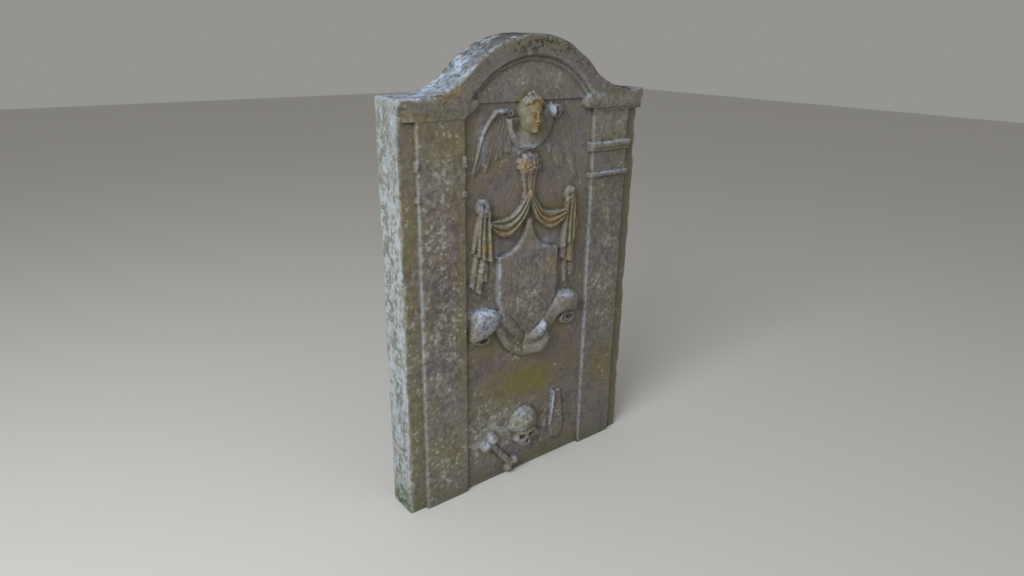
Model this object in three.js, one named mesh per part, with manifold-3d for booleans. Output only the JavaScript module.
// Carved headstone: one upright sandstone slab with an arched top. Its face has a moulded arch on two
// pilasters, a winged head, a rosette with swags of cloth, a shield on a ribbon and, at the foot, a
// skull, a bone and a coffin. Millimetres. The face is drawn with x across, y up and z out of the
// stone, and the finished mesh is stood up so that +Z is up and the face looks along -Y.

import * as THREE from 'three';
import { mergeVertices } from 'three/addons/utils/BufferGeometryUtils.js';
import Module from 'manifold-3d';

const wasm = await Module();
wasm.setup();

// Slab
const WIDTH = 900;
const THICKNESS = 110;
const SHOULDER = 1255;
const CROWN = 1415;
const SHOULDER_FLAT = 63;
const NECK_RADIUS = 226;
const BAND_PROUD = 22;
const BAND_FOOT = 1236;

// Arch that frames the tympanum, and the profile of its moulding: [outside the arch line, proud]
const ARCH_RADIUS = 279;
const ARCH_CENTRE = 1074;
const ARCH_START = THREE.MathUtils.degToRad(33);
const ARCH_STEPS = 22;
const ARCH_EDGE = 6;
const ARCH_PROFILE = [[9, 19], [5, 20], [2, 15], [0, 8], [-5, 10], [-10, 8], [-12, 3]];
const LEDGE = 1231;
const TYMPANUM_RADIUS = 271;
const TYMPANUM_PROUD = 5;

// Pilasters and their bands
const PILASTER_INNER = 243;
const PILASTER_OUTER = 396;
const PILASTER_PROUD = 13;
const PILASTER_TOP = 1199;
const PILASTER_EDGE = 2;
const BAND_OVERHANG = 8;
const LEFT_BAND_RELIEF = 0.55; // share that the weather has left of the left bands
const BANDS = [
  { bottom: 981, top: 997, proud: 20, edge: 4 },
  { bottom: 1064, top: 1076, proud: 18, edge: 2 },
  { bottom: 1074, top: 1094, proud: 23, edge: 5 },
];

// Capitals: [height, overhang towards the panel, proud]. The left one is worn to a slope. The right one
// keeps its roll and its flat underside.
const LEFT_CAPITAL = [
  [1194, -6, 11], [1195, 2, 15.5], [1200, 3, 15.5], [1207, 14, 16.5], [1217, 28, 19], [1225, 37, 21],
  [1231, 40, 21.7], [1238, 38, 21.7], [1242, 33, 20], [1246, 26, 19], [1252, 12, 18],
];
const RIGHT_CAPITAL = [
  [1190, -6, 11], [1191, 3, 15.5], [1197, 4, 15.5], [1199, 31, 21], [1205, 41, 24], [1213, 46, 26],
  [1224, 47, 26], [1233, 42, 25], [1240, 32, 23.5], [1246, 20, 22], [1252, 10, 18],
];
const CAPITAL_CHIPS = [
  { centre: [-462, 1186, 30], radii: [62, 60, 33] },
  { centre: [462, 1194, 36], radii: [34, 54, 28] },
];

// The carver's centre line, and how far each carving runs back into the slab
const AXIS = -9;
const SINK = 15;
const LUMP_FACETS = { least: 6, most: 12, onePairPer: 18, rows: 0.65 };
const RING_FACETS = [6, 12];

// Winged head
const HEAD_UP = 1196;
const HEAD = {
  cranium: { centre: [0, 12, 4], radii: [36, 40, 42] },
  jaw: { centre: [0, -18, 8], radii: [30, 36, 37] },
  chin: { centre: [0, -46, 33], radii: [11, 8, 10] },
  nose: { centre: [0, -9, 44], radii: [6, 15, 8] },
  noseTip: { centre: [0, -19, 47], radii: [7, 6, 8] },
  upperLip: { centre: [0, -31, 41], radii: [10, 3.5, 5] },
  lowerLip: { centre: [0, -37, 40], radii: [8, 3.5, 5] },
};
const FACE_SIDES = [
  { centre: [14, 9, 41], radii: [11, 4, 6] },
  { centre: [14, 1, 41], radii: [7.5, 4.5, 5] },
  { centre: [16, -17, 33], radii: [13, 13, 12] },
];
const HAIR = { across: 38, up: 42, from: -20, locks: 9, ripple: 3 };
const HAIR_PROFILE = [[1.12, 2], [1.09, 14], [1.02, 24], [0.92, 31], [0.8, 31]];
const COLLAR = { up: 1186, radius: 94, steps: 14 };
const COLLAR_PROFILE = [[1, 5], [0.94, 17], [0.8, 6], [0.6, 4], [0.36, 4]];
const WING_EDGE = [[86, 1207], [120, 1203], [146, 1181], [168, 1149], [181, 1109], [194, 1068], [203, 1040]];
const WING_HEM = [[62, 1092], [98, 1076], [148, 1056], [198, 1040]];
const WING_STEPS = 12;
const WING_ROLL = { thick: 9, thin: 4, proud: 12, tipProud: 7 };
const WING_ROLL_SECTION = [[-1, 0.2], [-0.6, 0.8], [0, 1], [0.6, 0.8], [1, 0.2]];
const WING_CURLS = [
  { side: -1, centre: [70, 1194, 4], radius: 13, tube: 7 },
  { side: 1, centre: [94, 1200, 8], radius: 19, tube: 9 },
];
const FEATHER_ROWS = [
  { root: 0.42, tip: 1.02, count: 6, width: 30, proud: 4.5 },
  { root: 0.2, tip: 0.62, count: 5, width: 32, proud: 6 },
  { root: 0.02, tip: 0.36, count: 3, width: 36, proud: 7.5 },
];
const FEATHER_LEAN = 0.16;
const FEATHER_EDGE = 0.45; // height of a feather's edge, as a share of its rib's
const FEATHER_TAPER = [[0, 0.8], [0.7, 1], [1, 0.3]];

// Rosette, tie and swags of cloth
const ROSETTE_UP = 1049;
const ROSETTE_EYE = { centre: [0, 0, 20], radii: [9, 8, 9] };
const PETAL_RINGS = [
  { across: 32, up: 22, proud: 8, count: 6, radii: [17, 14, 13] },
  { across: 15, up: 11, proud: 17, count: 5, radii: [12, 10, 11] },
];
const TIE = { top: 1024, bottom: 955, wide: 17, narrow: 10, proud: 13 };
const SWAG_UPPER = [[3, 966], [44, 917], [88, 897], [150, 896]];
const SWAG_LOWER = [[-6, 956], [22, 890], [58, 853], [92, 839], [126, 856], [154, 886]];
const SWAG = { folds: 4, steps: 12, crest: 21, valley: 9 };
const KNOT = { across: 170, up: 937, radius: 17, tube: 9.5, stretch: [1, 1.15, 1.3] };
const PLEAT_VALLEY = 1 / 3; // depth between pleats, as a share of their crest

// Tails of cloth that hang from the knots: [left, right] at the top, and the hem's two ends
const TAILS = [
  { top: [-187, -151, 922], hem: [[-212, 806], [-184, 824]], folds: 2, crest: 14 },
  { top: [-183, -151, 924], hem: [[-194, 798], [-141, 770]], folds: 3, crest: 21 },
  { top: [-199, -155, 806], hem: [[-219, 706], [-177, 670]], folds: 2, crest: 14 },
  { top: [-177, -150, 800], hem: [[-176, 714], [-152, 712]], folds: 1, crest: 12 },
  { top: [152, 189, 924], hem: [[136, 766], [192, 792]], folds: 3, crest: 21 },
  { top: [172, 196, 912], hem: [[186, 824], [206, 832]], folds: 1, crest: 14 },
  { top: [146, 194, 806], hem: [[136, 734], [196, 706]], folds: 2, crest: 15 },
  { top: [150, 200, 740], hem: [[152, 642], [204, 680]], folds: 2, crest: 10 },
];

// Shield and the strokes of its worn inscription
const SHIELD = {
  halfWidth: 118, tip: 8, peak: 886, corner: 780, waist: 640, foot: 526, proud: 17, edge: 5,
  neck: [19, 786], belly: [108, 560], // pulls of the hollow upper edges and of the round lower ones
};
const STROKES = {
  rows: 3, columns: 6, top: 750, pitch: 38, spread: 27, size: [16, 3.2], depth: 1.2, lean: 0.3,
};

// Ribbon under the shield, and its rolled ends
const RIBBON_LIMBS = [
  {
    near: [[-118, 606], [-74, 572], [-36, 534], [-12, 508]],
    far: [[-112, 530], [-92, 478], [-52, 440], [-16, 420]],
    proud: [20, 26, 24, 14],
  },
  {
    near: [[-18, 506], [14, 508], [40, 528], [58, 544]],
    far: [[-18, 420], [24, 418], [58, 424], [80, 452]],
    proud: [14, 31, 34, 26],
  },
  {
    near: [[44, 536], [66, 556], [88, 586], [110, 606]],
    far: [[78, 444], [106, 470], [122, 500], [136, 522]],
    proud: [22, 16, 18, 25],
  },
];
const RIBBON_SECTION = [[0, 0.75], [0.2, 1], [0.5, 0.72], [0.8, 1], [1, 0.7]];
const RIBBON_STEPS = 6;
const ROLL = { across: 164, radius: 43, taper: 0.1, facets: 8, top: 613, bottom: 552, proud: 36 };
const ROLL_PROFILE = [[0, 0.3], [0.1, 0.72], [0.3, 0.95], [0.8, 1], [1, 0.88]];
const VOLUTE = { outward: 7, height: 530, across: 33, up: 17, proud: 15, tube: 6.5, eye: [10, 6] };

// Emblems at the foot
const SKULL = {
  across: -12,
  solids: [
    { centre: [0, 182, -2], radii: [57, 52, 38] },
    { centre: [2, 126, 2], radii: [42, 40, 29] },
    { centre: [2, 147, 22], radii: [40, 8, 11] },
    { centre: [2, 104, 14], radii: [26, 16, 18] },
  ],
  hollows: [
    { centre: [-16, 131, 32], radii: [13, 12, 16] },
    { centre: [20, 131, 32], radii: [13, 12, 16] },
    { centre: [2, 113, 32], radii: [6, 9, 12] },
  ],
};
const BONE = { from: [-156, 148], to: [-64, 33], shaft: 12, knob: 19, spread: 18, proud: 5, facets: [2, 8] };
const COFFIN = {
  outline: [[121, 250], [154, 250], [174, 112], [146, 54], [104, 114]],
  proud: 11,
  edge: 4,
};

const fractions = (count) => Array.from({ length: count + 1 }, (unused, i) => i / count);
const curve = (points) => new THREE.SplineCurve(points.map(([x, y]) => new THREE.Vector2(x, y)));
const mirrored = (points, side) => points.map(([x, y]) => [AXIS + side * x, y]);

// A closed geometry as a solid, with its shared corners merged and its faces turned outwards
function solid(geometry) {
  const bare = geometry.clone();
  bare.deleteAttribute('normal');
  bare.deleteAttribute('uv');
  const merged = mergeVertices(bare, 1e-4);
  const place = merged.attributes.position;
  const [a, b, c] = [new THREE.Vector3(), new THREE.Vector3(), new THREE.Vector3()];
  const faces = [];
  let volume = 0;
  for (let i = 0; i < merged.index.count; i += 3) {
    const face = [0, 1, 2].map((corner) => merged.index.getX(i + corner));
    if (new Set(face).size < 3) continue;
    faces.push(face);
    [a, b, c].forEach((point, corner) => point.fromBufferAttribute(place, face[corner]));
    volume += a.dot(b.cross(c));
  }
  if (volume < 0) faces.forEach((face) => face.reverse());
  return new wasm.Manifold(new wasm.Mesh({
    numProp: 3,
    vertProperties: new Float32Array(place.array),
    triVerts: new Uint32Array(faces.flat()),
  }));
}

const joined = (solids) => solids.reduce((whole, piece) => whole.add(piece));

// A carving whose front is rows of [x, y, proud] points, closed by a flat back inside the stone
function carved(rows) {
  const span = rows[0].length + 3;
  const corners = [];
  const places = rows.flatMap((row) => {
    const [left, right] = [row[0], row[row.length - 1]];
    const middle = [(left[0] + right[0]) / 2, (left[1] + right[1]) / 2];
    return [...row, ...[right, middle, left].map(([x, y]) => [x, y, -SINK])];
  });
  const last = (rows.length - 1) * span;
  const hub = span - 2;
  for (let c = 0; c < span; c += 1) {
    const next = (c + 1) % span;
    for (let start = 0; start < last; start += span) {
      corners.push(start + c, start + next, start + span + c);
      corners.push(start + next, start + span + next, start + span + c);
    }
    if (c !== hub && next !== hub) {
      corners.push(hub, next, c);
      corners.push(last + hub, last + c, last + next);
    }
  }
  const geometry = new THREE.BufferGeometry();
  geometry.setAttribute('position', new THREE.Float32BufferAttribute(places.flat(), 3));
  geometry.setIndex(corners);
  return solid(geometry);
}

// A flat raised plate with a worn front edge
function plate(shape, proud, edge = 0, back = SINK) {
  const geometry = new THREE.ExtrudeGeometry(shape, {
    depth: back + proud - edge,
    bevelEnabled: edge > 0,
    bevelThickness: edge,
    bevelSize: edge,
    bevelOffset: -edge,
    bevelSegments: 2,
    curveSegments: 8,
  });
  return solid(geometry.translate(0, 0, -back));
}

function rectangle(left, right, bottom, top) {
  return new THREE.Shape([[left, bottom], [right, bottom], [right, top], [left, top]]
    .map(([x, y]) => new THREE.Vector2(x, y)));
}

// A rounded lump, drawn with more facets where it is broad
function ball([x, y, z], [across, up, out], turn = 0) {
  const { least, most, onePairPer, rows } = LUMP_FACETS;
  const sides = Math.min(most, least + 2 * Math.floor(across / onePairPer));
  const geometry = new THREE.SphereGeometry(1, sides, Math.round(sides * rows));
  return solid(geometry.scale(across, up, out).rotateZ(turn).translate(x, y, z));
}

const ballAt = (x, y, { centre, radii }) => ball([x + centre[0], y + centre[1], centre[2]], radii);

// Slab, with the face cut back inside the arch and below the capitals

function slabOutline() {
  const half = WIDTH / 2;
  const rise = CROWN - SHOULDER;
  const neck = half - SHOULDER_FLAT;
  const crownRadius = (neck * neck + rise * rise) / (2 * rise) - NECK_RADIUS;
  const turn = Math.asin(neck / (crownRadius + NECK_RADIUS));
  const down = -Math.PI / 2;
  const shape = new THREE.Shape();
  shape.moveTo(-half, 0);
  shape.lineTo(half, 0);
  shape.lineTo(half, SHOULDER);
  shape.absarc(neck, SHOULDER + NECK_RADIUS, NECK_RADIUS, down, down - turn, true);
  shape.absarc(0, CROWN - crownRadius, crownRadius, -down - turn, -down + turn, false);
  shape.absarc(-neck, SHOULDER + NECK_RADIUS, NECK_RADIUS, down + turn, down, true);
  shape.lineTo(-half, SHOULDER);
  return shape;
}

function archSegment(radius, base) {
  const start = Math.asin((base - ARCH_CENTRE) / radius);
  const shape = new THREE.Shape();
  shape.absarc(0, ARCH_CENTRE, radius, start, Math.PI - start, false);
  return shape;
}

function cutBackFace() {
  const [clear, overlap] = [20, 1];
  const body = rectangle(-WIDTH / 2 - clear, WIDTH / 2 + clear, -clear, BAND_FOOT);
  const arch = archSegment(ARCH_RADIUS + ARCH_EDGE, BAND_FOOT - overlap);
  return plate(body, BAND_PROUD + clear, 0, 0).add(plate(arch, BAND_PROUD + clear, 0, 0));
}

const slab = () => plate(slabOutline(), BAND_PROUD, 0, THICKNESS).subtract(cutBackFace());

function archMoulding() {
  return carved(fractions(ARCH_STEPS).map((t) => {
    const angle = THREE.MathUtils.lerp(ARCH_START, Math.PI - ARCH_START, t);
    return ARCH_PROFILE.map(([outside, proud]) => [
      Math.cos(angle) * (ARCH_RADIUS + outside),
      ARCH_CENTRE + Math.sin(angle) * (ARCH_RADIUS + outside),
      proud,
    ]);
  }));
}

const tympanum = () => plate(archSegment(TYMPANUM_RADIUS, LEDGE), TYMPANUM_PROUD);

function pilaster(side) {
  const [near, far] = [PILASTER_INNER, PILASTER_OUTER].map((x) => side * x).sort((a, b) => a - b);
  const shaft = plate(rectangle(near, far, -SINK, PILASTER_TOP), PILASTER_PROUD, PILASTER_EDGE);
  const relief = side < 0 ? LEFT_BAND_RELIEF : 1;
  const bands = BANDS.map(({ bottom, top, proud, edge }) => plate(
    rectangle(near - BAND_OVERHANG * relief, far + BAND_OVERHANG * relief, bottom, top),
    THREE.MathUtils.lerp(PILASTER_PROUD, proud, relief),
    edge * relief,
  ));
  const capital = carved((side < 0 ? LEFT_CAPITAL : RIGHT_CAPITAL).map(([up, overhang, proud]) => [
    [side * WIDTH / 2, up, proud],
    [side * (PILASTER_INNER - overhang), up, proud],
  ]));
  return joined([shaft, ...bands, capital]);
}

// Winged head

function head() {
  const features = Object.values(HEAD).map((form) => ballAt(AXIS, HEAD_UP, form));
  const pairs = [-1, 1].flatMap((side) => FACE_SIDES.map(({ centre: [x, y, z], radii }) => (
    ballAt(AXIS, HEAD_UP, { centre: [side * x, y, z], radii })
  )));
  return joined([...features, ...pairs, hair()]);
}

// Locks in a fringe round the brow, as a rippled roll
function hair() {
  const { across, up, from, locks, ripple } = HAIR;
  const crown = HEAD_UP + HEAD.cranium.centre[1];
  return carved(fractions(2 * locks).map((t, i) => {
    const angle = THREE.MathUtils.degToRad(THREE.MathUtils.lerp(from, 180 - from, t));
    const swell = i % 2 === 0 ? -ripple : ripple;
    return HAIR_PROFILE.map(([share, proud]) => [
      AXIS + Math.cos(angle) * (across * share + swell),
      crown + Math.sin(angle) * (up * share + swell),
      Math.max(proud + swell, 0),
    ]);
  }));
}

// Smooth hollow collar under the chin, a half ring with a raised rim
function collar() {
  const { up, radius, steps } = COLLAR;
  return carved(fractions(steps).map((t) => {
    const angle = Math.PI * (1 + t);
    return COLLAR_PROFILE.map(([share, proud]) => [
      AXIS + Math.cos(angle) * radius * share,
      up + Math.sin(angle) * radius * share,
      proud,
    ]);
  }));
}

function feather([x, y], [tipX, tipY], width, proud) {
  const [runX, runY] = [tipX - x, tipY - y];
  const length = Math.hypot(runX, runY);
  return carved(FEATHER_TAPER.map(([t, share]) => [-1, 0, 1].map((side) => {
    const reach = (side * share * width) / (2 * length);
    const out = side === 0 ? proud : proud * FEATHER_EDGE;
    return [x + runX * t - runY * reach, y + runY * t + runX * reach, out];
  })));
}

function wing(side) {
  const edge = curve(mirrored(WING_EDGE, side));
  const hem = curve(mirrored(WING_HEM, side));
  const spot = (along, down) => edge.getPoint(along).lerp(hem.getPoint(along), down).toArray();
  const feathers = FEATHER_ROWS.flatMap(({ root, tip, count, width, proud }) => (
    fractions(count - 1).map((t) => {
      const along = THREE.MathUtils.lerp(FEATHER_LEAN, 1, t);
      return feather(spot(along - FEATHER_LEAN, root), spot(along, tip), width, proud);
    })
  ));
  const roll = carved(fractions(WING_STEPS).map((t) => {
    const [x, y] = edge.getPoint(t).toArray();
    const along = edge.getTangent(t);
    const half = THREE.MathUtils.lerp(WING_ROLL.thick, WING_ROLL.thin, t);
    const proud = THREE.MathUtils.lerp(WING_ROLL.proud, WING_ROLL.tipProud, t);
    return WING_ROLL_SECTION.map(([s, share]) => [
      x - along.y * half * s,
      y + along.x * half * s,
      proud * share,
    ]);
  }));
  const { centre: [across, up, out], radius, tube } = WING_CURLS.find((curl) => curl.side === side);
  const curl = new THREE.TorusGeometry(radius, tube, ...RING_FACETS).translate(AXIS + side * across, up, out);
  return joined([...feathers, roll, solid(curl)]);
}

// Rosette, tie, swags, knots and tails

function rosette() {
  const petals = PETAL_RINGS.flatMap(({ across, up, proud, count, radii }) => (
    Array.from({ length: count }, (unused, i) => {
      const angle = ((i + 0.5) * 2 * Math.PI) / count;
      const place = [AXIS + across * Math.cos(angle), ROSETTE_UP + up * Math.sin(angle), proud];
      return ball(place, radii, angle);
    })
  ));
  return joined([...petals, ballAt(AXIS, ROSETTE_UP, ROSETTE_EYE)]);
}

// Cloth between two edges: folds run from the first row to the last
function cloth(upper, lower, { folds, steps, crest, valley }) {
  return carved(fractions(steps).map((t) => {
    const [from, to] = [upper(t), lower(t)];
    return fractions(2 * folds).map((s, i) => [
      THREE.MathUtils.lerp(from[0], to[0], s),
      THREE.MathUtils.lerp(from[1], to[1], s),
      i % 2 === 0 ? valley : crest,
    ]);
  }));
}

function tie() {
  const { top, bottom, wide, narrow, proud } = TIE;
  const side = (sign) => (t) => [
    AXIS + sign * THREE.MathUtils.lerp(wide, narrow, t),
    THREE.MathUtils.lerp(top, bottom, t),
  ];
  return cloth(side(-1), side(1), { folds: 2, steps: 1, crest: proud, valley: proud * PLEAT_VALLEY });
}

function swag(side) {
  const [upper, lower] = [SWAG_UPPER, SWAG_LOWER].map((points) => curve(mirrored(points, side)));
  return cloth((t) => upper.getPoint(t).toArray(), (t) => lower.getPoint(t).toArray(), SWAG);
}

function knot(side) {
  const ring = new THREE.TorusGeometry(KNOT.radius, KNOT.tube, ...RING_FACETS);
  return solid(ring.scale(...KNOT.stretch).translate(AXIS + side * KNOT.across, KNOT.up, KNOT.tube / 2));
}

function tail({ top: [left, right, up], hem: [leftHem, rightHem], folds, crest }) {
  const side = (x, [hemX, hemY]) => (t) => [
    AXIS + THREE.MathUtils.lerp(x, hemX, t),
    THREE.MathUtils.lerp(up, hemY, t),
  ];
  const pleats = { folds, steps: 1, crest, valley: crest * PLEAT_VALLEY };
  return cloth(side(left, leftHem), side(right, rightHem), pleats);
}

// Shield and ribbon

function shieldOutline() {
  const { halfWidth, tip, peak, corner, waist, foot, neck, belly } = SHIELD;
  const shape = new THREE.Shape();
  shape.moveTo(AXIS - halfWidth, waist);
  shape.quadraticCurveTo(AXIS - belly[0], belly[1], AXIS, foot);
  shape.quadraticCurveTo(AXIS + belly[0], belly[1], AXIS + halfWidth, waist);
  shape.lineTo(AXIS + halfWidth, corner);
  shape.quadraticCurveTo(AXIS + neck[0], neck[1], AXIS + tip, peak);
  shape.lineTo(AXIS - tip, peak);
  shape.quadraticCurveTo(AXIS - neck[0], neck[1], AXIS - halfWidth, corner);
  return shape;
}

// Short cuts whose lean changes from one to the next, so that they are no letters
function strokes() {
  const { rows, columns, top, pitch, spread, size: [long, wide], depth, lean } = STROKES;
  const cuts = [];
  for (let row = 0; row < rows; row += 1) {
    for (let column = 0; column < columns; column += 1) {
      const turn = ((row * 5 + column * 3) % 4 - 1.5) * lean;
      const cut = new THREE.BoxGeometry(wide, long, 2 * depth).rotateZ(turn);
      const x = AXIS + (column - (columns - 1) / 2) * spread;
      cuts.push(solid(cut.translate(x, top - row * pitch, SHIELD.proud)));
    }
  }
  return joined(cuts);
}

const shield = () => plate(shieldOutline(), SHIELD.proud, SHIELD.edge).subtract(strokes());

function ribbonLimb({ near, far, proud }) {
  const [nearCurve, farCurve] = [curve(near), curve(far)];
  return carved(fractions(RIBBON_STEPS).map((t) => {
    const [from, to] = [nearCurve.getPoint(t), farCurve.getPoint(t)];
    const spot = t * (proud.length - 1);
    const index = Math.min(Math.floor(spot), proud.length - 2);
    const out = THREE.MathUtils.lerp(proud[index], proud[index + 1], spot - index);
    return RIBBON_SECTION.map(([s, share]) => {
      const [x, y] = from.clone().lerp(to, s).toArray();
      return [AXIS + x, y, out * share];
    });
  }));
}

function roll(side) {
  const { across, radius, taper, facets, top, bottom, proud } = ROLL;
  const middle = AXIS + side * across;
  const barrel = carved(ROLL_PROFILE.map(([down, share]) => fractions(facets).map((t) => [
    middle - Math.cos(Math.PI * t) * radius * (1 - taper * (1 - share)),
    THREE.MathUtils.lerp(top, bottom, down),
    proud * share * Math.sin(Math.PI * t),
  ])));
  const { outward, height, across: wide, up: tall, proud: out, tube, eye } = VOLUTE;
  const centre = [middle + side * outward, height, out];
  const ring = new THREE.TorusGeometry(wide, tube, ...RING_FACETS).scale(1, tall / wide, 1);
  const end = new THREE.Shape().absellipse(centre[0], height, wide, tall, 0, 2 * Math.PI);
  return joined([barrel, plate(end, out), solid(ring.translate(...centre)), ball(centre, [...eye, tube])]);
}

const ribbon = () => joined([...RIBBON_LIMBS.map(ribbonLimb), roll(-1), roll(1)]);

// Emblems at the foot

function skull() {
  const [bone, hollows] = [SKULL.solids, SKULL.hollows].map((forms) => (
    joined(forms.map((form) => ballAt(SKULL.across, 0, form)))
  ));
  return bone.subtract(hollows);
}

function thighBone() {
  const { from, to, shaft, knob, spread, proud, facets } = BONE;
  const run = new THREE.Vector2(to[0] - from[0], to[1] - from[1]);
  const lean = run.angle();
  const rod = new THREE.CapsuleGeometry(shaft, run.length(), ...facets);
  rod.rotateZ(lean + Math.PI / 2).translate((from[0] + to[0]) / 2, (from[1] + to[1]) / 2, proud);
  const knobs = [from, to].flatMap(([x, y]) => [-1, 1].map((side) => ball(
    [x - side * Math.sin(lean) * spread, y + side * Math.cos(lean) * spread, proud],
    [knob, knob, knob],
  )));
  return joined([solid(rod), ...knobs]);
}

function coffin() {
  const corners = COFFIN.outline.map(([x, y]) => new THREE.Vector2(x, y));
  return plate(new THREE.Shape(corners), COFFIN.proud, COFFIN.edge);
}

function headstone() {
  const carving = joined([
    archMoulding(), tympanum(), pilaster(-1), pilaster(1),
    head(), collar(), wing(-1), wing(1), rosette(), tie(),
    swag(-1), swag(1), knot(-1), knot(1), ...TAILS.map(tail),
    shield(), ribbon(), skull(), thighBone(), coffin(),
  ]);
  const ground = plate(rectangle(-WIDTH, WIDTH, -WIDTH, 0), THICKNESS, 0, 2 * THICKNESS);
  const chips = joined(CAPITAL_CHIPS.map(({ centre, radii }) => ball(centre, radii)));
  const stone = slab().add(carving).subtract(ground).subtract(chips).getMesh();
  const geometry = new THREE.BufferGeometry();
  geometry.setAttribute('position', new THREE.Float32BufferAttribute(stone.vertProperties, 3));
  geometry.setIndex(new THREE.Uint32BufferAttribute(stone.triVerts, 1));
  geometry.computeVertexNormals();
  const sandstone = new THREE.MeshStandardMaterial({ color: '#7c7268', roughness: 0.95, metalness: 0 });
  const mesh = new THREE.Mesh(geometry, sandstone);
  mesh.name = 'headstone';
  mesh.rotation.x = Math.PI / 2;
  mesh.position.y = -THICKNESS / 2;
  return mesh;
}

const monument = new THREE.Group();
monument.add(headstone());

export default monument;
